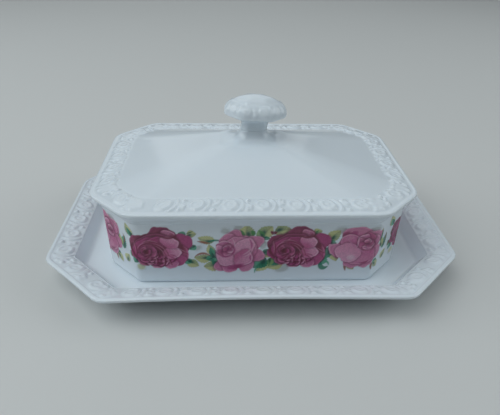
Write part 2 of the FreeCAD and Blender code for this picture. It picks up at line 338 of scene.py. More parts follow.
def press(piece, cloud, glaze, height, softening, seed):
    """Runs the garland tree on a piece and keeps the result as its plain mesh."""
    modifier = piece.modifiers.new("garland", "NODES")
    modifier.node_group = garland
    chosen = {"Spots": cloud, "Height": height, "Softening": softening, "Hand": HAND, "Seed": seed,
              "Glaze": glaze, **dict(zip(SHAPES, shapes))}
    for socket in garland.interface.items_tree:
        if socket.in_out == "INPUT" and socket.name in chosen:
            modifier[socket.identifier] = chosen[socket.name]
    depsgraph = bpy.context.evaluated_depsgraph_get()
    made = bpy.data.meshes.new_from_object(piece.evaluated_get(depsgraph), depsgraph=depsgraph)
    piece.modifiers.remove(modifier)
    piece.data = made
    bpy.data.objects.remove(cloud)


# How far a fruit stands off the middle of its share of a side, and the berries beside a fruit and
# beside a corner's fan: (along, across, size).
SHIFT = 2.8 * MM
SPRIG = ((9.4, -3.6, 1.0), (11.3, -1.0, 0.8), (9.2, 3.8, 0.9))
CORNER_SPRIG = ((5.6, 2.6, 1.1), (6.6, -0.6, 0.9), (5.2, -3.8, 1.0), (-5.8, 1.2, 0.9), (-5.4, -2.6, 1.0))


def garland_spots(places, along, total, pitch):
    """A garland that runs one way round all eight sides: a fruit with a leaf curled round it, then a
    leaf and a sprig of berries, and a fan of ribs where two sides meet."""
    edges = [along[np.searchsorted(places, k)] for k in range(16)] + [total]
    spots = []
    for k in range(8):
        start, end = edges[2 * k], edges[2 * k + 1]
        units = max(1, round((end - start) / pitch))
        for i in range(units):
            odd = i % 2
            centre = (start + end) / 2 + SHIFT + (i - (units - 1) / 2) * (end - start) / units
            size = 0.94 if odd else 1.0
            spots += [(FRUIT, centre, 0, 31 * i, (size, size, 1)),
                      (CURL, centre, 0, 6 - 12 * odd, (size, size, 1)),
                      (LEAF, centre + 10.0 * MM, (1.6 - 3.2 * odd) * MM, 62 + 56 * odd, (0.9,) * 3)]
            spots += [(BERRY, centre + x * MM, (y if odd else -y) * MM, 0, (scale,) * 3)
                      for x, y, scale in SPRIG]
        corner = (end + edges[2 * k + 2]) / 2
        spots.append((FAN, corner, 0, 0, (0.9, 1, 0.9)))
        spots += [(BERRY, corner + x * MM, y * MM, 0, (scale,) * 3) for x, y, scale in CORNER_SPRIG]
        spots += [(LEAF, corner + 9.6 * MM, 0, 66, (0.85, 0.9, 0.85)),
                  (LEAF, corner - 9.0 * MM, 0, 114, (0.85, 0.9, 0.85))]
    near = 20 * MM
    spots += [(s[0], s[1] + total) + s[2:] for s in spots if s[1] < near]
    spots += [(s[0], s[1] - total) + s[2:] for s in spots if total > s[1] > total - near]
    return spots


# The glaze: bluish-white porcelain under a clear gloss glaze. It pools a little deeper in colour in
# the hollows of the moulding, which are also painted darker there as shade; its surface waves very
# slightly, and it holds a few dark kiln specks.
def porcelain(name, bare_foot=False, enamelled=False):
    material = bpy.data.materials.new(name)
    material.use_nodes = True
    tree = material.node_tree
    shader = tree.nodes["Principled BSDF"]
    place = tree.nodes.new("ShaderNodeTexCoord").outputs["Object"]

    def noise(scale, detail):
        return wire(tree, "ShaderNodeTexNoise", {
            "Vector": place, "Scale": scale, "Detail": detail}).outputs[0]

    def ramp(value, low, high, first, last):
        return wire(tree, "ShaderNodeMapRange", {
            "Value": value, 1: low, 2: high, 3: first, 4: last}).outputs[0]

    def mixed(share, under, over):
        return wire(tree, "ShaderNodeMix", {0: share, 6: under, 7: over}, data_type="RGBA").outputs[2]

    def stored(name):
        return wire(tree, "ShaderNodeAttribute", attribute_name=name).outputs

    body = mixed(noise(38.0, 3.0), (0.720, 0.792, 0.845, 1), (0.745, 0.812, 0.862, 1))
    on_band = wire(tree, "ShaderNodeSeparateXYZ", {0: stored("strip")["Vector"]}).outputs["Z"]
    # Low places in the band's moulding get a darker tint: deeper pooled glaze, and painted shade in the
    # hollows.
    hollow_shade = ramp(stored("relief")["Fac"], 0.0, 0.5 * MM, 0.5, 0.0)
    pooled_and_shaded = mixed(maths(tree, "MULTIPLY", hollow_shade, on_band), body, (0.62, 0.69, 0.74, 1))
    cells = wire(tree, "ShaderNodeTexVoronoi", {"Vector": place, "Scale": 34.0}).outputs
    chance = wire(tree, "ShaderNodeSeparateColor", {0: cells["Color"]}).outputs[0]
    speck = maths(tree, "MULTIPLY", ramp(cells["Distance"], 0.006, 0.014, 1.0, 0.0),
                  maths(tree, "GREATER_THAN", chance, 0.90))
    colour = mixed(speck, pooled_and_shaded, (0.10, 0.08, 0.06, 1))
    rough = ramp(noise(90.0, 4.0), 0.3, 0.7, 0.09, 0.15)
    if bare_foot:
        height = wire(tree, "ShaderNodeSeparateXYZ", {0: place}).outputs["Z"]
        bare = ramp(height, 0.25 * MM, 0.6 * MM, 1.0, 0.0)
        colour = mixed(bare, colour, (0.66, 0.63, 0.58, 1))
        rough = wire(tree, "ShaderNodeMix", {0: bare, 2: rough, 3: 0.75}).outputs[0]
    if enamelled:
        enamel = stored("enamel")
        stipple = ramp(noise(2600.0, 1.0), 0.3, 0.7, 0.86, 1.10)
        dotted = wire(tree, "ShaderNodeVectorMath", {0: enamel["Color"], "Scale": stipple}, operation="SCALE")
        colour = mixed(enamel["Alpha"], colour, dotted.outputs[0])
        rough = maths(tree, "ADD", rough, maths(tree, "MULTIPLY", enamel["Alpha"], 0.10))
    bump = wire(tree, "ShaderNodeBump", {"Height": noise(70.0, 2.0), "Strength": 0.25,
                                        "Distance": 0.06 * MM}).outputs[0]
    tree.links.new(colour, shader.inputs["Base Color"])
    tree.links.new(rough, shader.inputs["Roughness"])
    tree.links.new(bump, shader.inputs["Normal"])
    shader.inputs["IOR"].default_value = 1.52
    shader.inputs["Subsurface Weight"].default_value = 0.12
    shader.inputs["Subsurface Radius"].default_value = (1.0, 0.9, 0.8)
    shader.inputs["Subsurface Scale"].default_value = 0.8 * MM
    return material


tray_glaze = porcelain("tray glaze", bare_foot=True)
band_top = LIP_TOP - 0.7 * MM
band_low = band_top - BAND_DROP
well_edge = -(LIP_WIDTH + BAND_WIDTH)
well_foot = well_edge - 5.2 * MM
foot_out = well_foot - 0.7 * MM
fine_places = set_out(TRAY_HALF[0] - 8 * MM, TRAY_HALF[1] - 8 * MM, TRAY_CORNER - 4.7 * MM, 4 * MM,
                      0.45 * MM)
coarse_places = fine_places[::4]
well_rows = profile([
    (well_foot - 40 * MM, WELL_FLOOR), (well_foot, WELL_FLOOR, 2.4 * MM),
    (well_edge - 0.9 * MM, band_low - 0.9 * MM, 1.0 * MM),
    (well_edge - 0.4 * MM, band_low + 0.2 * MM, 0.5 * MM), (well_edge, band_low)])
band_rows = [np.array([well_edge + (0.1 * MM + BAND_WIDTH) * t, band_low + 0.1 * MM + BAND_DROP * t])
             for t in np.linspace(0, 1, BAND_ROWS)]
lip_rows = profile([
    (-LIP_WIDTH + 0.5 * MM, LIP_TOP - 0.15 * MM, 0.6 * MM),
    (-LIP_WIDTH + 1.1 * MM, LIP_TOP, 0.6 * MM),
    (-0.3 * MM, LIP_TOP - 0.2 * MM, 1.0 * MM), (0, LIP_TOP - 1.2 * MM, 0.9 * MM),
    (-0.5 * MM, LIP_TOP - 2.3 * MM, 0.9 * MM),
    (-LIP_WIDTH, LIP_TOP - 2.9 * MM, 1.5 * MM),
    (well_edge + 0.9 * MM, band_low - 4.0 * MM, 3.0 * MM),
    (well_foot + 2.7 * MM, 3.9 * MM, 2.0 * MM), (foot_out + 0.5 * MM, 3.0 * MM, 1.0 * MM),
    (foot_out, 2.4 * MM, 0.5 * MM), (foot_out, 0.6 * MM, 0.5 * MM),
    (foot_out - 0.5 * MM, 0, 0.5 * MM), (foot_out - 2.6 * MM, 0, 0.5 * MM),
    (foot_out - 3.2 * MM, 0.7 * MM, 0.6 * MM), (foot_out - 3.6 * MM, 3.0 * MM, 1.0 * MM),
    (foot_out - 37 * MM, 3.0 * MM)])
band_rings = tray_rings(band_rows, fine_places)
tray = shell("tray_porcelain", tray_rings(well_rows, coarse_places) + band_rings
             + tray_rings(lip_rows, coarse_places))
tray_along, tray_round = mark_band(tray, band_rings, len(well_rows) * len(coarse_places), BAND_WIDTH)
tray_spots = garland_spots(fine_places, tray_along, tray_round, 17.4 * MM)
press(tray, spot_cloud("tray_spots", tray_spots), tray_glaze, height=1.1, softening=3, seed=3)

# A dish this wide moves a little in the kiln: the long rims stand a touch high in the middle, and
# the left end has sunk, by these many millimetres.
RIM_RISE, END_SINK = 1.7, 1.0
points = points_of(tray)
rim = np.maximum(np.abs(points[:, 0]) - TRAY_HALF[0], np.abs(points[:, 1]) - TRAY_HALF[1])
rim = np.clip((rim - foot_out) / -foot_out, 0, 1) ** 1.3
bow = np.cos(np.clip(np.abs(points[:, 0]) / (TRAY_HALF[0] - 12 * MM), 0, 1) * math.pi / 2) ** 2
sunk = np.clip((-points[:, 0] - 0.5 * TRAY_HALF[0]) / (0.5 * TRAY_HALF[0]), 0, 1)
points[:, 2] += rim * (RIM_RISE * bow - END_SINK * sunk) * MM
tray.data.vertices.foreach_set("co", points.ravel())
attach(tray, "tray")
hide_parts("tray")

# ---------------------------------------------------------------------------------------------
# The cover. A thin-walled bell cast in one piece: upright walls with a small cove at the top, a
# projecting cornice with the same moulded garland, and a low roof of eight soft-edged facets that
# sweeps up to the seat of the knob. It is open underneath and stands loose in the tray's well.
cover_low, cover_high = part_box("cover_shell")
COVER_FOOT = cover_low.z
CORNICE_REACH = 7.0 * MM
COVER_HALF = ((cover_high.x - cover_low.x) / 2 - CORNICE_REACH,
              (cover_high.y - cover_low.y) / 2 - CORNICE_REACH)
COVER_CORNER = 19.0 * MM
COVER_ROUND = 6.0 * MM
CORNICE_UNDER = COVER_FOOT + 46.8 * MM
CORNICE_TOP = CORNICE_UNDER + 2.8 * MM
COVE_FOOT = CORNICE_UNDER - 6.0 * MM
BAND_OUT = CORNICE_REACH - 2.6 * MM
BAND_IN = BAND_OUT - 12.4 * MM
ROOF_FOOT = CORNICE_TOP + 1.5 * MM
ROOF_RISE = 13.8 * MM
FLARE_RISE = 6.9 * MM
LANDING = ROOF_FOOT + ROOF_RISE
LANDING_HALF = (20.1 * MM, 13.2 * MM)
NECK_HALF = (8.0 * MM, 6.1 * MM)
JOINT = cover_high.z
WALL = 3.2 * MM
CORNICE_ROWS = 36
NECK_CORNER, LANDING_CORNER = 3.0 * MM, 3.8 * MM


def cover_rings(rows, places, rounding=COVER_ROUND, gain=1.0):
    return [ring(COVER_HALF[0] + out, COVER_HALF[1] + out, COVER_CORNER + CUT_SHARE * out,
                 max(rounding + gain * out, 3.0 * MM), height, places) for out, height in rows]


def between(low, high, share, corners, rounding, height, places):
    """A ring whose half sizes lie between two others, for the roof and the flare."""
    half = [a * (1 - share) + b * share for a, b in zip(low, high)]
    return ring(half[0], half[1], corners[0] * (1 - share) + corners[1] * share, rounding, height, places)


cornice_places = set_out(COVER_HALF[0], COVER_HALF[1], COVER_CORNER, 5 * MM, 0.38 * MM)
wall_places = cornice_places[::4]
roof_half = (COVER_HALF[0] + BAND_IN, COVER_HALF[1] + BAND_IN)
roof_corner = COVER_CORNER + CUT_SHARE * BAND_IN
flare = []
for turn in np.linspace(math.pi / 2, 0, 15):
    share = 1 - math.sin(turn)
    flare.append(between(NECK_HALF, LANDING_HALF, share, (NECK_CORNER, LANDING_CORNER),
                         4 * MM + 3 * MM * share, JOINT - FLARE_RISE * math.cos(turn), wall_places))
roof = [between(LANDING_HALF, roof_half, t, (LANDING_CORNER, roof_corner),
                (5.0 + 9.0 * t + 6 * math.sin(math.pi * t)) * MM,
                LANDING - ROOF_RISE * t, wall_places) for t in np.linspace(0.02, 0.985, 22)]
cornice_rows = [np.array([BAND_IN + (BAND_OUT - BAND_IN) * t, ROOF_FOOT - 1.6 * MM * t])
                for t in np.linspace(0, 1, CORNICE_ROWS)]
wall_rows = profile([
    (BAND_OUT + 0.6 * MM, CORNICE_TOP - 0.14 * MM, 0.3 * MM),
    (CORNICE_REACH - 1.3 * MM, CORNICE_TOP + 0.05 * MM, 0.6 * MM),
    (CORNICE_REACH, CORNICE_TOP - 0.3 * MM, 0.9 * MM),
    (CORNICE_REACH, CORNICE_UNDER + 0.2 * MM, 1.2 * MM),
    (CORNICE_REACH - 2.4 * MM, CORNICE_UNDER - 0.5 * MM, 1.2 * MM),
    (2.6 * MM, CORNICE_UNDER - 3.0 * MM, 1.6 * MM),
    (2.1 * MM, COVE_FOOT + 0.5 * MM, 0.4 * MM), (1.5 * MM, COVE_FOOT, 0.4 * MM),
    (1.4 * MM, COVE_FOOT - 1.2 * MM, 0.5 * MM),
    (0.1 * MM, COVER_FOOT + 2.2 * MM, 1.4 * MM), (-0.9 * MM, COVER_FOOT, 0.8 * MM),
    (-2.4 * MM, COVER_FOOT, 0.6 * MM), (-WALL, COVER_FOOT + 1.4 * MM, 0.8 * MM),
    (1.5 * MM - WALL, CORNICE_TOP - 5.5 * MM, 3.0 * MM), (BAND_IN, ROOF_FOOT - 3.9 * MM, 4.0 * MM),
    (BAND_IN - 32 * MM, ROOF_FOOT - 3.9 * MM + 7.8 * MM)])
cornice_rings = cover_rings(cornice_rows, cornice_places, 10 * MM, -0.3)
cover = shell("cover_porcelain", flare + roof + cornice_rings + cover_rings(wall_rows, wall_places))
cover_along, cover_round = mark_band(cover, cornice_rings, (len(flare) + len(roof)) * len(wall_places),
                                     BAND_OUT - BAND_IN)
cover_spots = garland_spots(cornice_places, cover_along, cover_round, 17.8 * MM)
cover_glaze = porcelain("cover glaze")
press(cover, spot_cloud("cover_spots", cover_spots), cover_glaze, height=1.1, softening=3, seed=5)
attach(cover, "cover")
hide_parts("cover_shell")

# ---------------------------------------------------------------------------------------------
# The knob. An eight-sided mushroom on a waisted neck, cast in its own mould and luted to the roof
# before the firing. A ring of small fruit and leaves runs round its shoulder, under a plain dome.
knob_low, knob_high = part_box("cover_knob")
KNOB_HALF = ((knob_high.x - knob_low.x) / 2, (knob_high.y - knob_low.y) / 2)
KNOB_CORNER = 9.6 * MM
CAP_UNDER = JOINT + 8.5 * MM
KNOB_ROWS = 22
KNOB_ROUND = 7.4 * MM
SHOULDER = math.radians(72)
LEAN = math.radians(2.8)
OFF_CENTRE = 0.3 * MM


def knob_rings(rows, places):
    return [ring(KNOB_HALF[0] + out, KNOB_HALF[1] + out, max(KNOB_CORNER + CUT_SHARE * out, 0.2 * MM),
                 max(KNOB_ROUND + 0.65 * out, 0.6 * MM), height, places) for out, height in rows]


knob_places = set_out(KNOB_HALF[0], KNOB_HALF[1], KNOB_CORNER, 5 * MM, 0.26 * MM)
sparse = knob_places[::4]
DOME_OUT = -5.2 * MM
DOME_FOOT = CAP_UNDER + 8.25 * MM
DOME_START = math.radians(28)
dome = []
for turn in np.linspace(math.radians(86), DOME_START, 16):
    share = math.cos(turn) / math.cos(DOME_START)
    half = [(h + DOME_OUT) * share for h in KNOB_HALF]
    rise = (math.sin(turn) - math.sin(DOME_START)) / (1 - math.sin(DOME_START))
    dome.append(ring(half[0], half[1], (KNOB_CORNER + CUT_SHARE * DOME_OUT) * share, 4.0 * MM * share,
                     DOME_FOOT + 3.3 * MM * rise, sparse))
shoulder_rows = []
for t in np.linspace(0, 1, KNOB_ROWS):
    turn = math.radians(72 - 69 * t)
    shoulder_rows.append(np.array([0.96 * DOME_OUT * (1 - math.cos(turn)) / (1 - math.cos(SHOULDER)),
                                   CAP_UNDER + 0.5 * MM + 8.0 * MM * math.sin(turn)]))
edge_rows = profile([
    (0, CAP_UNDER + 0.75 * MM, 0.3 * MM), (-0.3 * MM, CAP_UNDER + 0.2 * MM, 0.4 * MM),
    (-2.2 * MM, CAP_UNDER, 0.8 * MM),
    (-5.0 * MM, CAP_UNDER + 0.15 * MM)], bends=5)
neck = []
for t in np.linspace(0, 1, 16):
    flat = (1 - t) ** 3
    foot = 0.5 * t ** 2
    half = (7.5 * MM + 3.6 * MM * flat + foot * MM, 5.6 * MM + 2.2 * MM * flat + foot * MM)
    neck.append(ring(half[0], half[1], 2.6 * MM + 0.4 * MM * t, 4.0 * MM,
                     CAP_UNDER + 0.1 * MM - (CAP_UNDER - JOINT + 0.1 * MM) * t, sparse))
shoulder_rings = knob_rings(shoulder_rows, knob_places)
knob = shell("knob_porcelain", dome + shoulder_rings + knob_rings(edge_rows, sparse) + neck)
_, knob_round = mark_band(knob, shoulder_rings, len(dome) * len(sparse), 8.6 * MM)
knob_spots = []
for i in range(10):
    centre = knob_round * i / 10
    knob_spots.append((FRUIT, centre, 0, 36 * i, (0.60, 0.60, 0.5)))
    knob_spots.append((LEAF, centre + 5.0 * MM, 0, 55 + 70 * (i % 2), (0.62, 0.7, 0.45)))
    knob_spots.append((BERRY, centre + 4.6 * MM, (2.2 - 4.4 * (i % 2)) * MM, 0, (0.8, 0.8, 0.6)))
knob_spots += [(s[0], s[1] + knob_round) + s[2:] for s in knob_spots if s[1] < 8 * MM]
press(knob, spot_cloud("knob_spots", knob_spots), cover_glaze, height=0.8, softening=5, seed=9)

# It was luted on by hand and leans a little to the right.
points = points_of(knob)
rise = points[:, 2] - JOINT
grip = np.clip(rise / (3 * MM), 0, 1)
lean = LEAN * grip
leaned = points[:, 0] + lean * rise + OFF_CENTRE * grip
points[:, 2] = points[:, 2] - lean * points[:, 0]
points[:, 0] = leaned
knob.data.vertices.foreach_set("co", points.ravel())
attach(knob, "cover")
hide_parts("cover_knob")
for shape in shapes:
    bpy.data.objects.remove(shape)

# ---------------------------------------------------------------------------------------------
# The roses. Ceramic transfers, printed in enamel on a sheet, slid wet on to the glazed wall and
# fired on: crimson and pink cabbage roses with their leaves and buds, in a band all round.
DOT = 0.14
CRIMSON, WINE = (0.57, 0.23, 0.38), (0.42, 0.10, 0.20)
MAGENTA, ROSE = (0.66, 0.25, 0.46), (0.73, 0.36, 0.53)
BLUSH, SHELL, PALE = (0.82, 0.53, 0.66), (0.86, 0.62, 0.73), (0.89, 0.76, 0.82)
TEAL, SEA, BOTTLE = (0.13, 0.50, 0.38), (0.30, 0.64, 0.50), (0.06, 0.25, 0.21)
OLIVE, MOSS, BUD, MIST = (0.77, 0.78, 0.52), (0.25, 0.53, 0.28), (0.60, 0.36, 0.26), (0.68, 0.70, 0.69)


def grain(shape, size, seed):
    """Soft random values from -1 to 1, varying over about size cells."""
    rng = np.random.default_rng(seed)
    coarse = rng.uniform(-1, 1, (int(shape[0] / size) + 4, int(shape[1] / size) + 4))
    y, x = np.arange(shape[0]) / size, np.arange(shape[1]) / size
    iy, ix = y.astype(int), x.astype(int)
    fy, fx = (y - iy)[:, None], (x - ix)[None, :]
    fy, fx = fy * fy * (3 - 2 * fy), fx * fx * (3 - 2 * fx)
    a, b = coarse[np.ix_(iy, ix)], coarse[np.ix_(iy, ix + 1)]
    c, d = coarse[np.ix_(iy + 1, ix)], coarse[np.ix_(iy + 1, ix + 1)]
    return (a * (1 - fx) + b * fx) * (1 - fy) + (c * (1 - fx) + d * fx) * fy


class Sheet:
    """A piece of transfer paper, in millimetres: colour and cover of every dot."""
    def __init__(self, left, right, low, high, seed):
        self.left, self.low = left, low
        wide, tall = 2 * round((right - left) / DOT / 2), 2 * round((high - low) / DOT / 2)
        self.colour, self.cover = np.zeros((tall, wide, 3)), np.zeros((tall, wide))
        self.grain = (grain((tall, wide), 7, seed) + grain((tall, wide), 3, seed + 1)) / 2
        self.fine = grain((tall, wide), 2, seed + 2)
        self.wave = grain((tall, wide), 17, seed + 3)

    def window(self, x, z, reach):
        rows, columns = self.cover.shape
        c0, c1 = [int(np.clip((v - self.left) / DOT, 0, columns)) for v in (x - reach, x + reach)]
        r0, r1 = [int(np.clip((v - self.low) / DOT, 0, rows)) for v in (z - reach, z + reach)]
        here = (slice(r0, r1), slice(c0, c1))
        gx, gz = np.meshgrid(self.left + (np.arange(c0, c1) + 0.5) * DOT,
                             self.low + (np.arange(r0, r1) + 0.5) * DOT)
        return here, gx, gz

    def lay(self, here, strength, colour, inside=False):
        """Lays colour over what is there. Inside, it only changes what is already painted."""
        if inside:
            strength = strength * self.cover[here]
        strength = np.clip(strength, 0, 1)
        under = self.cover[here] * (1 - strength)
        total = under + strength
        mix = np.where(total > 1e-6, strength / np.maximum(total, 1e-6), 0)[..., None]
        self.colour[here] = self.colour[here] * (1 - mix) + np.asarray(colour) * mix
        self.cover[here] = total


def smooth(x, low, high):
    t = np.clip((x - low) / (high - low), 0, 1)
    return t * t * (3 - 2 * t)


def blend(a, b, t):
    return np.asarray(a) * (1 - t[..., None]) + np.asarray(b) * t[..., None]


def turned_window(sheet, x, z, reach, turn):
    """The dots round a place, and how far each lies from it along turned axes."""
    here, gx, gz = sheet.window(x, z, reach)
    c, s = math.cos(math.radians(turn)), math.sin(math.radians(turn))
    return here, (gx - x) * c + (gz - z) * s, -(gx - x) * s + (gz - z) * c


def wash(sheet, x, z, wide, tall, turn, colour, strength=0.8, soft=0.5, inside=False):
    """A loose soft-edged patch."""
    here, u, v = turned_window(sheet, x, z, max(wide, tall) * 1.3 + soft, turn)
    edge = (np.hypot(u / wide, v / tall) - 1) * min(wide, tall) + 0.22 * sheet.grain[here]
    sheet.lay(here, strength * smooth(-edge, -soft, soft), colour, inside)


def petal(sheet, x, z, wide, tall, turn, deep, light, streak=0.10, shade=0.5):
    """A petal seen from outside: its base at the bottom, its rolled rim at the top of the turned shape.
    It shades what lies under it, deepens towards its base and is streaked from base to rim."""
    here, u, v = turned_window(sheet, x, z, max(wide, tall) * 1.5 + 1, turn)
    angle = np.arctan2(u / wide, v / tall)
    wavy = 1 + 0.05 * np.cos(3 * angle + wide) * smooth(np.cos(angle), -0.6, 0.4)
    round_by = np.hypot(u / wide, v / tall) / wavy
    edge = (round_by - 1) * min(wide, tall) + 0.5 * sheet.wave[here]
    sheet.lay(here, shade * smooth(-edge, -1.3, 0.2), np.asarray(deep) * 0.60, inside=True)
    fan = np.arctan2(u, v + 1.7 * tall) * (20 + 4 * tall) + 2.0 * sheet.wave[here]
    rib = (0.5 + 0.5 * np.cos(fan)) ** 2 - 0.7 * (0.5 + 0.5 * np.cos(0.73 * fan + wide)) ** 2
    tone = smooth(v / tall + 0.25 * sheet.wave[here], -1.0, 0.95)
    tone = tone - 2.2 * streak * rib * smooth(-v / tall, -1.0, 0.9)
    rim = np.exp(-((edge + 0.35) / 0.28) ** 2) * smooth(v / tall, -0.3, 0.6) * 0.40
    fold = np.exp(-((edge + 1.3) / 0.6) ** 2) * smooth(v / tall, -0.1, 0.9) * 0.30
    colour = blend(deep, light, np.clip(tone + rim - fold, -0.25, 1.2))
    colour = colour * (1 + 0.05 * sheet.grain[here] + 0.04 * sheet.fine[here])[..., None]
    sheet.lay(here, smooth(-edge, -0.16, 0.16), colour)


def stroke(sheet, points, width, colour, strength=0.8, soft=0.2, inside=False):
    """A brush stroke through three points, tapering to both ends."""
    (x0, z0), (x1, z1), (x2, z2) = points
    middle = ((x0 + x1 + x2) / 3, (z0 + z1 + z2) / 3)
    chord = math.dist((x0, z0), (x2, z2))
    here, gx, gz = sheet.window(*middle, chord + math.dist((x1, z1), middle) + width)
    bend = (2 * x1 - (x0 + x2) / 2, 2 * z1 - (z0 + z2) / 2)
    nearest = np.full(gx.shape, 1e9)
    for t in np.linspace(0, 1, 2 + math.ceil(chord * 7)):
        px = (1 - t) ** 2 * x0 + 2 * t * (1 - t) * bend[0] + t * t * x2
        pz = (1 - t) ** 2 * z0 + 2 * t * (1 - t) * bend[1] + t * t * z2
        half = width * (0.25 + 0.75 * math.sin(math.pi * t))
        nearest = np.minimum(nearest, np.hypot(gx - px, gz - pz) - half)
    sheet.lay(here, strength * smooth(-nearest, -soft, soft), colour, inside)


def leaf(sheet, x, z, long, wide, turn, light, dark, shadow_side):
    """A leaf from its stalk at (x, z), turned from +x: a lit half, a shaded half, midrib and side veins."""
    here, u, v = turned_window(sheet, x, z, long * 1.15, turn)
    u, v = u / long, v / wide
    v = v - 0.15 * np.sin(math.pi * np.clip(u, 0, 1)) * long / wide * 0.5
    half = np.sin(math.pi * np.clip(u, 0, 1) ** 0.8) ** 0.85 * (1 + 0.07 * np.cos(42 * u + 2 * v))
    inside = smooth((half - np.abs(v)) * wide, -0.14, 0.16)
    inside = inside * smooth(u, -0.01, 0.03) * smooth(1 - u, -0.01, 0.03)
    side_veins = smooth(np.cos(34 * (u - 0.32 * np.abs(v))), 0.55, 1.0)
    vein = np.exp(-(np.abs(v) / 0.10) ** 2) + 0.5 * side_veins
    shaded = smooth(v * shadow_side, -0.15, 0.25)
    tone = np.clip(shaded * (1 - 0.45 * smooth(u, 0.35, 1.0)) + 0.16 * sheet.grain[here], 0, 1)
    colour = blend(light, dark, tone)
    colour = colour * (1 - 0.22 * np.clip(vein, 0, 1) * (0.4 + shaded))[..., None]
    sheet.lay(here, 0.92 * inside, colour)
    deep = np.exp(-((u - 0.30) / 0.20) ** 2 - ((v * shadow_side - 0.22) / 0.30) ** 2)
    sheet.lay(here, 0.85 * inside * deep, BOTTLE)


def petals(sheet, x, z, rows, streak=0.10):
    """Petals in the order they are painted: (along, up, wide, tall, turn, deep, light)."""
    for dx, dz, wide, tall, turn, deep, light in rows:
        petal(sheet, x + dx, z + dz, wide, tall, turn, deep, light, streak)


def heart(sheet, x, z, turns, reach, flat, wide, tall, deeps, lights, streak):
    """Petals wound inwards round a rose's heart. Turns are (how many, first, step); the reach and
    the sizes are (first, how much less each time)."""
    for i in range(turns[0]):
        turn = turns[1] + turns[2] * i
        out, far = math.radians(turn + 90), reach[0] - reach[1] * i
        petal(sheet, x + flat[0] * far * math.cos(out), z + flat[1] * far * math.sin(out),
              wide[0] - wide[1] * i, tall[0] - tall[1] * i, turn, deeps[i % len(deeps)],
              lights[i % len(lights)], streak)


def creases(sheet, x, z, lines, width, colour, strength, soft):
    """Strokes that only show on what is already painted."""
    for line in lines:
        stroke(sheet, [(x + a, z + b) for a, b in line], width, colour, strength, soft, inside=True)



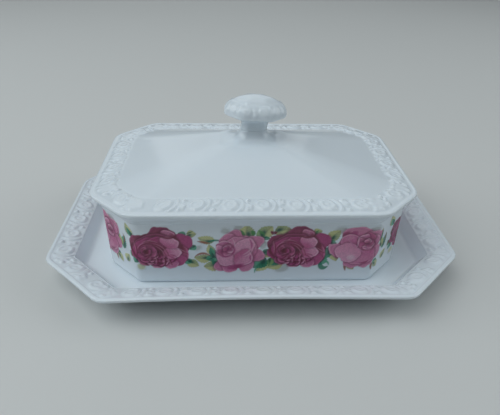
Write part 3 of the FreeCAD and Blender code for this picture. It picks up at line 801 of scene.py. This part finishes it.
def dark_rose(sheet, x, z):
    """The crimson cabbage rose: lobed outer petals, two pale turned ones, a heart low on the left and
    ruffled petals hanging under it."""
    outer = [(0, 0, 15.5, 11.0, 0, WINE, CRIMSON), (0.6, 9.0, 7.4, 5.4, 4, WINE, CRIMSON),
             (12.4, 4.4, 5.4, 5.0, -66, MAGENTA, MAGENTA), (-12.2, 3.0, 6.6, 5.2, 68, WINE, CRIMSON),
             (-12.0, -2.6, 5.6, 5.0, 112, WINE, MAGENTA), (10.0, -4.2, 6.4, 5.2, -112, WINE, ROSE),
             (-8.2, -7.6, 4.2, 4.4, 150, MAGENTA, ROSE), (9.6, -8.2, 4.4, 4.0, -146, MAGENTA, ROSE),
             (-2.2, -10.2, 4.2, 3.8, 178, MAGENTA, BLUSH), (5.4, -10.2, 4.2, 4.0, -174, MAGENTA, BLUSH)]
    petals(sheet, x, z, outer)
    petal(sheet, x + 4.4, z + 9.6, 3.6, 2.6, -24, CRIMSON, BLUSH)
    wash(sheet, x + 9.6, z + 3.4, 2.0, 6.4, 26, WINE, 0.8, 0.8, inside=True)
    petal(sheet, x - 4.0, z + 2.4, 11.6, 6.8, 12, WINE, CRIMSON, streak=0.05)
    petal(sheet, x - 7.4, z + 0.4, 8.2, 6.2, 40, CRIMSON, MAGENTA, streak=0.06)
    petal(sheet, x - 1.4, z + 2.8, 6.0, 4.8, -8, WINE, MAGENTA, streak=0.06)
    wash(sheet, x - 1.8, z - 5.0, 4.6, 4.4, 0, WINE, 0.6, 1.2, inside=True)
    for row, (far, size) in enumerate(((8.2, 3.8), (6.0, 3.2), (4.0, 2.6))):
        for i in range(7 - row):
            turn = 238 - (17 + 4 * row) * i
            out = math.radians(turn + 90)
            petal(sheet, x - 2.0 + far * math.cos(out), z - 1.6 + 0.85 * far * math.sin(out), 0.72 * size,
                  size, turn, WINE, (ROSE, MAGENTA, BLUSH)[(i + row) % 3], streak=0.24, shade=0.7)
    petal(sheet, x + 6.4, z - 2.8, 4.2, 4.8, -80, ROSE, SHELL, streak=0.05)
    petal(sheet, x + 5.2, z + 3.8, 5.2, 3.7, -34, ROSE, SHELL, streak=0.04)
    heart(sheet, x - 7.2, z - 2.0, (10, 150, 53), (4.1, 0.36), (1, 0.9), (3.0, 0.16), (2.3, 0.12),
          (CRIMSON,) * 6 + (WINE,) * 4, (MAGENTA, CRIMSON, ROSE), 0.06)
    folds = [((-9.6, 4.0), (-5.4, 5.2), (-1.0, 3.6)), ((-3.4, 3.2), (1.2, 0.6), (3.8, -4.4)),
             ((-2.6, 1.6), (0.4, -1.0), (2.6, -5.6)), ((-12.6, -0.6), (-10.0, 3.0), (-6.0, 4.0)),
             ((-14.2, 4.6), (-13.4, 0.6), (-13.4, -4.0)), ((9.8, -0.2), (12.2, -1.6), (14.4, -3.4)),
             ((-3.6, -5.0), (-2.6, -8.0), (-3.0, -11.0)), ((0.6, -5.4), (1.6, -8.4), (1.2, -11.6)),
             ((4.0, -6.6), (4.4, -9.0), (5.4, -11.0))]
    for i in range(26):
        out, near, far = math.radians(204 + 5.6 * i), 5.4 + 0.9 * (i % 3), 10.2 + 0.8 * (i % 2)
        ruffle = [(x - 1.2 + r * math.cos(out + b), z - 1.4 + 0.92 * r * math.sin(out + b))
                  for r, b in ((near, 0), ((near + far) / 2, 0.05), (far, 0.02))]
        stroke(sheet, ruffle, 0.26, (BLUSH, WINE, ROSE, WINE, SHELL)[i % 5], 0.5, 0.35, inside=True)
    for i in range(12):
        out, far = math.radians(-20 + 31 * i), 3.2 + 0.9 * (i % 4)
        curl = [(x - 6.4 + far * math.cos(out + b), z - 2.2 + 0.8 * far * math.sin(out + b))
                for b in (0, 0.5, 1.0)]
        stroke(sheet, curl, 0.22, (ROSE, BLUSH, CRIMSON)[i % 3], 0.6, 0.25, inside=True)
    for fold in folds:
        stroke(sheet, [(x + a + 0.5, z + b - 0.6) for a, b in fold], 0.42, WINE, 0.75, 0.35, inside=True)
        stroke(sheet, [(x + a, z + b) for a, b in fold], 0.26, SHELL, 0.62, 0.22, inside=True)
    creases(sheet, x, z, [((0.4, 8.2), (4.4, 7.0), (9.0, 7.8))], 0.7, WINE, 0.85, 0.5)
    creases(sheet, x, z, [((-16.4, 3.4), (-16.2, -1.0), (-13.6, -5.4))], 0.9, WINE, 0.8, 0.6)


def pink_rose_side(sheet, x, z):
    """The pink rose with its heart turned to the left."""
    outer = [(0, -0.5, 11.4, 11.6, 0, ROSE, BLUSH), (-1.6, 10.4, 4.6, 4.0, 18, ROSE, BLUSH),
             (-6.2, 8.6, 4.6, 3.0, 30, ROSE, BLUSH), (9.0, 6.0, 4.6, 5.4, -40, ROSE, BLUSH),
             (9.4, -2.2, 4.6, 5.6, -96, ROSE, BLUSH),
             (4.6, -9.6, 4.8, 4.6, -160, ROSE, BLUSH), (-9.2, -9.8, 3.8, 4.6, 150, ROSE, BLUSH),
             (-4.2, -11.2, 4.6, 3.8, 176, MAGENTA, BLUSH)]
    petals(sheet, x, z, outer, 0.06)
    petal(sheet, x + 1.0, z + 1.0, 9.0, 9.4, -12, ROSE, BLUSH, streak=0.05)
    petal(sheet, x - 5.4, z - 3.2, 7.2, 6.4, 130, BLUSH, SHELL, streak=0.04)
    petal(sheet, x + 3.4, z + 1.8, 5.4, 7.4, -24, BLUSH, SHELL, streak=0.05)
    petal(sheet, x + 3.2, z - 4.4, 6.2, 5.0, -130, ROSE, SHELL, streak=0.06)
    wash(sheet, x - 1.0, z - 10.6, 4.8, 1.7, 14, MAGENTA, 0.75, 0.6, inside=True)
    wash(sheet, x + 0.6, z - 10.4, 2.6, 1.0, 30, CRIMSON, 0.7, 0.5, inside=True)
    heart(sheet, x - 6.2, z + 1.8, (9, 40, 52), (3.6, 0.34), (0.9, 1), (3.2, 0.2), (2.9, 0.2),
          (MAGENTA,), (BLUSH, SHELL, ROSE), 0.04)
    folds = [((-9.8, 6.2), (-6.2, 7.0), (-3.0, 5.6)), ((2.4, -2.6), (5.2, -0.6), (7.6, 2.2)),
             ((2.8, -3.6), (5.6, -2.4), (8.0, 0.2)), ((-3.0, 9.0), (-1.6, 5.0), (-2.2, 1.0))]
    creases(sheet, x, z, folds, 0.34, PALE, 0.6, 0.3)
    hollows = [((6.4, 8.6), (7.6, 5.2), (7.4, 1.8)), ((7.6, -2.2), (7.0, -4.2), (7.6, -6.2)),
               ((-2.6, 4.6), (-1.8, 1.2), (-3.4, -2.4)), ((-10.0, -2.0), (-7.0, -3.4), (-3.6, -2.8))]
    creases(sheet, x, z, hollows, 0.55, MAGENTA, 0.7, 0.45)


def pink_rose_back(sheet, x, z):
    """The pink rose that faces up to the right, a full pale petal below it."""
    outer = [(0, 0, 11.6, 11.8, 0, ROSE, BLUSH), (-1.0, 9.6, 8.2, 4.6, 4, ROSE, BLUSH),
             (-10.2, -1.6, 4.6, 6.6, 72, MAGENTA, BLUSH), (8.4, 5.6, 6.0, 6.4, -42, ROSE, BLUSH),
             (9.4, -2.6, 5.2, 6.0, -98, ROSE, BLUSH),
             (5.2, -8.6, 6.0, 5.0, -156, ROSE, BLUSH), (-1.4, -10.0, 5.4, 4.4, 176, ROSE, BLUSH)]
    petals(sheet, x, z, outer, 0.06)
    wash(sheet, x - 7.4, z + 8.0, 2.4, 3.4, -38, CRIMSON, 0.85, 0.7, inside=True)
    wash(sheet, x - 3.0, z + 9.0, 2.0, 2.6, -30, MAGENTA, 0.8, 0.7, inside=True)
    petal(sheet, x - 4.4, z + 4.2, 5.6, 5.2, 20, MAGENTA, BLUSH, streak=0.06)
    petal(sheet, x + 2.4, z - 5.2, 8.6, 6.8, -168, ROSE, BLUSH, streak=0.05)
    wash(sheet, x - 10.2, z - 4.2, 1.6, 3.6, 12, CRIMSON, 0.8, 0.7, inside=True)
    petal(sheet, x - 4.6, z - 3.2, 7.6, 6.4, 158, BLUSH, SHELL, streak=0.03)
    wash(sheet, x - 2.6, z - 6.8, 2.2, 1.8, 20, PALE, 0.7, 0.9, inside=True)
    heart(sheet, x + 5.4, z + 3.4, (10, -60, 49), (4.4, 0.38), (1, 0.95), (3.7, 0.22), (3.3, 0.2),
          (MAGENTA, CRIMSON), (BLUSH, ROSE, SHELL), 0.05)
    folds = [((-5.4, 5.4), (-3.4, 3.0), (-1.6, 0.8)), ((0.4, -0.4), (3.0, -2.4), (5.6, -4.6)),
             ((2.0, 0.8), (5.4, 0.2), (7.4, -2.4)), ((-0.2, 7.8), (0.4, 4.2), (-0.2, 0.6))]
    for fold in folds:
        stroke(sheet, [(x + a, z + b) for a, b in fold], 0.34, PALE, 0.6, 0.3, inside=True)
        stroke(sheet, [(x + a + 0.6, z + b - 0.7) for a, b in fold], 0.4, MAGENTA, 0.5, 0.4, inside=True)
    creases(sheet, x, z, [((3.0, -10.8), (5.4, -10.6), (7.2, -9.2))], 0.7, CRIMSON, 0.8, 0.5)


# The leaves between the roses, from the middle of each gap: (along, height, long, wide, turn, tones),
# the brush marks (three points, width, tone) and the patches (along, height, wide, tall, turn, tone).
GREEN, YELLOW, FRESH = (SEA, TEAL), (OLIVE, (0.62, 0.68, 0.46)), ((0.52, 0.68, 0.42), MOSS)
after_dark = dict(
    leaves=[(-6.6, 41.5, 5.2, 2.0, 8, YELLOW), (-6.8, 41.8, 4.2, 1.7, 165, GREEN),
        (-1.6, 33.4, 4.4, 1.5, 214, GREEN), (-7.0, 21.8, 6.8, 2.4, -22, YELLOW),
        (-4.6, 21.4, 4.4, 1.8, 138, GREEN), (8.6, 36.8, 9.0, 2.3, 168, YELLOW),
        (6.8, 24.6, 9.4, 2.4, 176, YELLOW), (8.4, 26.2, 5.2, 1.9, 206, GREEN),
        (8.2, 27.0, 7.4, 2.0, 112, YELLOW), (9.4, 25.0, 7.6, 1.6, 114, GREEN),
        (11.4, 20.4, 9.0, 3.0, 190, YELLOW), (11.0, 21.2, 5.0, 2.2, 140, GREEN)],
    marks=[(((-0.8, 36.4), (2.4, 35.5), (5.6, 34.9)), 0.75, BUD),
        (((5.0, 36.0), (8.4, 36.8), (12.4, 36.6)), 0.6, TEAL),
        (((-2.4, 25.8), (1.8, 28.0), (6.2, 26.2)), 0.75, BUD),
        (((5.6, 26.2), (8.0, 25.4), (10.4, 24.2)), 0.3, BOTTLE),
        (((9.2, 31.8), (10.3, 29.6), (9.7, 26.8)), 0.65, BUD),
        (((-6.6, 41.6), (-5.0, 42.0), (-3.2, 42.8)), 0.3, BOTTLE)],
    patches=[(-0.6, 31.8, 2.2, 1.4, 30, MIST)])
before_dark = dict(
    leaves=[(-11.4, 38.4, 8.2, 3.7, 92, YELLOW), (-3.2, 38.8, 8.6, 3.3, 56, YELLOW),
        (-3.0, 38.4, 5.8, 1.9, 116, FRESH), (-3.6, 38.0, 4.4, 1.1, -4, GREEN),
        (2.8, 26.6, 6.6, 1.7, 166, YELLOW), (-2.2, 27.0, 4.6, 1.6, 48, GREEN),
        (-1.0, 22.6, 8.8, 2.7, 236, YELLOW), (-1.4, 25.2, 9.8, 3.4, 230, GREEN),
        (8.6, 21.6, 9.4, 2.5, 204, YELLOW), (5.8, 26.6, 8.2, 2.9, 240, GREEN),
        (1.6, 24.8, 6.2, 1.6, 262, FRESH), (3.0, 43.0, 9.2, 3.0, 14, YELLOW)],
    marks=[(((-14.9, 43.2), (-14.0, 41.0), (-12.8, 38.0)), 1.0, MOSS),
        (((-9.4, 42.8), (-8.3, 41.6), (-8.6, 39.8)), 1.2, MOSS),
        (((-5.8, 18.0), (-6.7, 16.2), (-7.0, 13.8)), 0.5, SEA),
        (((-4.0, 39.6), (-3.6, 37.8), (-3.2, 36.6)), 0.5, BOTTLE),
        (((1.2, 42.6), (2.6, 41.6), (4.4, 42.2)), 1.1, WINE)],
    patches=[(-23.6, 43.0, 2.4, 1.7, 0, MIST), (-16.6, 45.0, 2.6, 1.9, 40, MIST),
        (-3.0, 34.0, 2.0, 3.2, 0, MIST), (8.0, 17.2, 4.2, 2.8, 10, MIST)])
beside_back = dict(
    leaves=[(-8.8, 42.0, 4.8, 2.0, 24, YELLOW), (3.2, 41.0, 5.6, 1.5, 196, FRESH),
        (0.4, 36.0, 8.6, 2.8, 52, YELLOW), (1.6, 29.4, 8.2, 2.6, -62, YELLOW),
        (2.0, 36.8, 6.8, 2.0, -98, GREEN), (0.2, 31.8, 8.6, 2.4, -102, GREEN),
        (-1.2, 25.6, 6.8, 2.0, -112, GREEN)],
    marks=[(((-3.6, 23.0), (-2.4, 17.6), (1.0, 18.0)), 1.5, TEAL),
        (((-1.2, 22.2), (0.8, 21.2), (1.6, 19.0)), 0.6, SEA),
        (((-3.6, 24.4), (-3.2, 22.6), (-3.2, 20.8)), 0.45, BOTTLE),
        (((-8.0, 42.0), (-7.2, 42.4), (-6.2, 43.2)), 0.5, MOSS)],
    patches=[(6.4, 43.0, 3.5, 2.1, 8, MIST)])
after_back = dict(
    leaves=[(-8.2, 34.0, 8.0, 1.7, 82, YELLOW), (-8.8, 22.4, 3.8, 1.6, 236, GREEN),
        (-10.6, 20.4, 6.0, 1.9, -52, YELLOW), (-26.2, 19.4, 5.2, 1.8, -42, YELLOW),
        (-3.4, 26.6, 9.6, 2.0, 78, GREEN), (-4.6, 28.6, 7.0, 1.8, 104, YELLOW),
        (-2.4, 18.6, 6.4, 2.0, 62, YELLOW), (5.6, 39.4, 8.0, 2.3, 122, YELLOW),
        (6.0, 39.2, 5.8, 1.6, 128, GREEN), (6.8, 25.4, 4.4, 1.8, 246, GREEN),
        (6.0, 25.2, 4.6, 1.7, 134, GREEN)],
    marks=[(((-6.4, 40.2), (-7.0, 36.4), (-7.6, 32.6)), 0.8, TEAL),
        (((-7.6, 32.6), (-7.2, 29.6), (-8.2, 26.6)), 0.3, SEA),
        (((-11.6, 20.0), (-12.0, 17.8), (-11.4, 15.2)), 0.85, BUD),
        (((-27.4, 20.4), (-27.4, 18.0), (-26.8, 15.0)), 0.8, BUD),
        (((-2.6, 31.0), (-1.8, 34.0), (-2.4, 37.4)), 0.5, BUD),
        (((3.2, 25.0), (3.9, 26.6), (3.4, 28.2)), 0.8, BUD)],
    patches=[(-12.8, 43.4, 3.2, 1.7, 0, MIST), (9.0, 19.0, 2.4, 2.1, 0, OLIVE)])


def foliage(sheet, middle, spray):
    for x, z, wide, tall, turn, tone in spray["patches"]:
        wash(sheet, middle + x, z, wide, tall, turn, tone, 0.7, 0.7)
    for number, (x, z, long, wide, turn, (light, dark)) in enumerate(spray["leaves"]):
        leaf(sheet, middle + x, z - 0.3 * max(z - 38, 0), 1.05 * long, 1.24 * wide, turn, light, dark,
             shadow_side=1 if number % 2 else -1)
    for points, width, tone in spray["marks"]:
        stroke(sheet, [(middle + a, b) for a, b in points], width, tone, 0.9, 0.25)


# The sheet, in millimetres from the middle of the front: where it begins, and how long it is.
SEAM = -188.5
ROUND = 521.9
SHEET_LOW, SHEET_HIGH = 12.0, 48.2
MID_HEIGHT = 31 * MM
MARKS = 100
FRONT_SKIN, BACK_SKIN = 0.06 * MM, 0.04 * MM
sheet = Sheet(SEAM, SEAM + ROUND, SHEET_LOW, SHEET_HIGH, 11)
strip = [(-168.9, pink_rose_side, -2.0), (-131.0, dark_rose, 0), (-93.2, pink_rose_back, 0),
         (-52.4, dark_rose, 0), (-10.3, pink_rose_side, -2.6), (23.2, dark_rose, 0),
         (56.0, pink_rose_back, -0.4), (100.0, dark_rose, 0), (139.0, pink_rose_side, -2.6),
         (174.0, dark_rose, 0), (208.0, pink_rose_back, 0), (250, dark_rose, 0),
         (283.6, pink_rose_side, -2.6), (317.0, dark_rose, 0)]
sprays = {(dark_rose, pink_rose_side): after_dark, (pink_rose_side, dark_rose): before_dark,
          (dark_rose, pink_rose_back): beside_back, (pink_rose_back, dark_rose): after_back}
for (x0, kind, _), (x1, next_kind, _) in zip(strip, strip[1:]):
    foliage(sheet, (x0 + x1) / 2, sprays[(kind, next_kind)])
for x, rose, lift in strip:
    rose(sheet, x, 31.6 + lift)


# The film itself: a skin of enamel on the wall wherever the sheet holds colour, closed behind and
# round its edges. Its points carry the colour, fading into the glaze at the edge of every leaf.
def wall_out(height):
    """How far the leaning wall stands out at a height."""
    return 0.1 * MM + (height - COVER_FOOT - 2.2 * MM) / (COVE_FOOT - COVER_FOOT - 3.4 * MM) * 1.3 * MM


fine = sheet.cover.shape[0] // 2, sheet.cover.shape[1] // 2
block = (fine[0], 2, fine[1], 2)
cover_of = sheet.cover.reshape(block).mean((1, 3))
tinted = (sheet.colour * sheet.cover[..., None]).reshape(block + (3,)).mean((1, 3))
colour_of = tinted / np.maximum(cover_of, 1e-4)[..., None]
film_heights = (SHEET_LOW + (np.arange(fine[0]) + 0.5) * 2 * DOT) * MM
film_along = (SEAM + (np.arange(fine[1]) + 0.5) * 2 * DOT) * MM
cover_of[film_heights > COVE_FOOT - 1.4 * MM] = 0
marks = np.linspace(0, 16, 16 * MARKS + 1)
level = cover_rings([(wall_out(MID_HEIGHT), MID_HEIGHT)], marks[:-1])[0]
travelled = np.concatenate([[0], np.cumsum(np.linalg.norm(np.roll(level, -1, 0) - level, axis=1))])
front_side = travelled[MARKS]
film_places = np.interp((film_along + front_side / 2) % travelled[-1], travelled, marks) % 16
outside = np.stack(cover_rings([(wall_out(h) + FRONT_SKIN, h) for h in film_heights], film_places))
behind = np.stack(cover_rings([(wall_out(h) - BACK_SKIN, h) for h in film_heights], film_places))
painted = cover_of > 0.03
cells = painted[1:, 1:] | painted[:-1, 1:] | painted[1:, :-1] | painted[:-1, :-1]
for _ in range(4):
    pinch = cells[:-1, :-1] & cells[1:, 1:] & ~cells[1:, :-1] & ~cells[:-1, 1:]
    cells[:-1, 1:] |= pinch
    pinch = ~cells[:-1, :-1] & ~cells[1:, 1:] & cells[1:, :-1] & cells[:-1, 1:]
    cells[:-1, :-1] |= pinch


def film(name, node, start, end):
    """The part of the film between two places round the wall, as one closed skin."""
    kept = cells.copy()
    middle = (film_along[1:] + film_along[:-1]) / 2
    kept[:, (middle < start * MM) | (middle >= end * MM)] = False
    rows, columns = np.nonzero(kept)
    width = fine[1]
    a = rows * width + columns
    front = np.stack([a, a + 1, a + width + 1, a + width], 1)
    framed = np.pad(kept, 1)
    rims = []
    for step, first, second in (((-1, 0), 0, 1), ((0, 1), 1, 2), ((1, 0), 2, 3), ((0, -1), 3, 0)):
        open_here = ~framed[rows + 1 + step[0], columns + 1 + step[1]]
        rims.append(front[open_here][:, [first, second]])
    rims = np.concatenate(rims)
    used, front = np.unique(front, return_inverse=True)
    front = front.reshape(-1, 4)
    rims = np.searchsorted(used, rims)
    count = len(used)
    skin = np.concatenate([front, front[:, ::-1] + count,
                           np.stack([rims[:, 1], rims[:, 0], rims[:, 0] + count, rims[:, 1] + count], 1)])
    points = np.concatenate([outside.reshape(-1, 3)[used], behind.reshape(-1, 3)[used]])
    mesh = bpy.data.meshes.new(name)
    mesh.from_pydata(points.tolist(), [], skin.tolist())
    mesh.polygons.foreach_set("use_smooth", [True] * len(mesh.polygons))
    paint = np.concatenate([colour_of.reshape(-1, 3)[used], cover_of.reshape(-1, 1)[used]], 1)
    tone = paint[:, :3]
    paint[:, :3] = np.where(tone <= 0.04045, tone / 12.92, ((tone + 0.055) / 1.055) ** 2.4)
    stored = mesh.attributes.new("enamel", "FLOAT_COLOR", "POINT")
    stored.data.foreach_set("color", np.tile(paint, (2, 1)).astype(np.float32).ravel())
    mesh.materials.append(enamel)
    skin_object = put(name, mesh)
    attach(skin_object, "cover")
    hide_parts(node)


enamel = porcelain("rose enamel", enamelled=True)
for name, start, end in (("left", -152.0, -112.0), ("front_left", -112.0, -70.6), ("front", -70.6, 70.8),
                         ("front_right", 70.8, 82.6), ("right", 82.6, 156.2), ("back_right", 156.2, 191.6),
                         ("back", 191.6, SEAM + ROUND), ("back_left", SEAM, -152.0)):
    film("roses_" + name, "transfer_" + name, start, end)

# ---------------------------------------------------------------------------------------------
# The camera, a plain pale table and soft daylight: a large window high over the front left, one
# lower at each end, weaker ones behind and overhead, and very little light from the room itself.
EYE = (-0.0168, -0.2786, 0.1907)
TABLE = 3.0
camera_data = bpy.data.cameras.new("camera")
camera_data.lens = 35.67
camera_data.sensor_width = 36
camera = put("camera", camera_data)
bpy.context.scene.camera = camera
yaw, pitch, roll = math.radians(-3.28), math.radians(31.06), math.radians(-1.55)
turn = Matrix.Rotation(yaw, 3, "Z") @ Matrix.Rotation(-pitch, 3, "X") @ Matrix.Rotation(roll, 3, "Y")
right, ahead, up = turn.col[0], turn.col[1], turn.col[2]
camera.matrix_world = (Matrix.Translation(EYE)
                       @ Matrix((right, up, -ahead)).transposed().to_4x4())

floor_mesh = bpy.data.meshes.new("floor")
floor_mesh.from_pydata([(-TABLE, -TABLE, 0), (TABLE, -TABLE, 0), (TABLE, TABLE, 0), (-TABLE, TABLE, 0)],
                       [], [(0, 1, 2, 3)])
floor = put("floor", floor_mesh)
floor_paint = bpy.data.materials.new("pale table")
floor_paint.use_nodes = True
table = floor_paint.node_tree.nodes["Principled BSDF"]
table.inputs["Base Color"].default_value = (0.62, 0.63, 0.62, 1)
table.inputs["Roughness"].default_value = 0.85
floor_mesh.materials.append(floor_paint)

world = bpy.data.worlds.new("studio")
bpy.context.scene.world = world
world.use_nodes = True
world.node_tree.nodes["Background"].inputs[0].default_value = (0.86, 0.93, 1.0, 1)
world.node_tree.nodes["Background"].inputs[1].default_value = 0.06


for name, place, size, power in (("sky window", (-0.6, -0.6, 1.45), 1.4, 10.8),
                                 ("left window", (-1.35, 0, 0.9), 1.2, 8.0),
                                 ("right window", (1.35, 0, 0.9), 1.2, 7.2),
                                 ("back window", (0, 1.35, 0.9), 1.2, 2.2),
                                 ("roof window", (-0.2, 0.3, 1.6), 1.5, 3.2)):
    light = bpy.data.lights.new(name, "AREA")
    light.energy, light.size, light.color = power, size, (0.915, 0.975, 1.0)
    lamp = put(name, light)
    lamp.location = place
    lamp.rotation_euler = Vector(place).to_track_quat("Z", "Y").to_euler()
bpy.context.scene.view_settings.view_transform = "Standard"
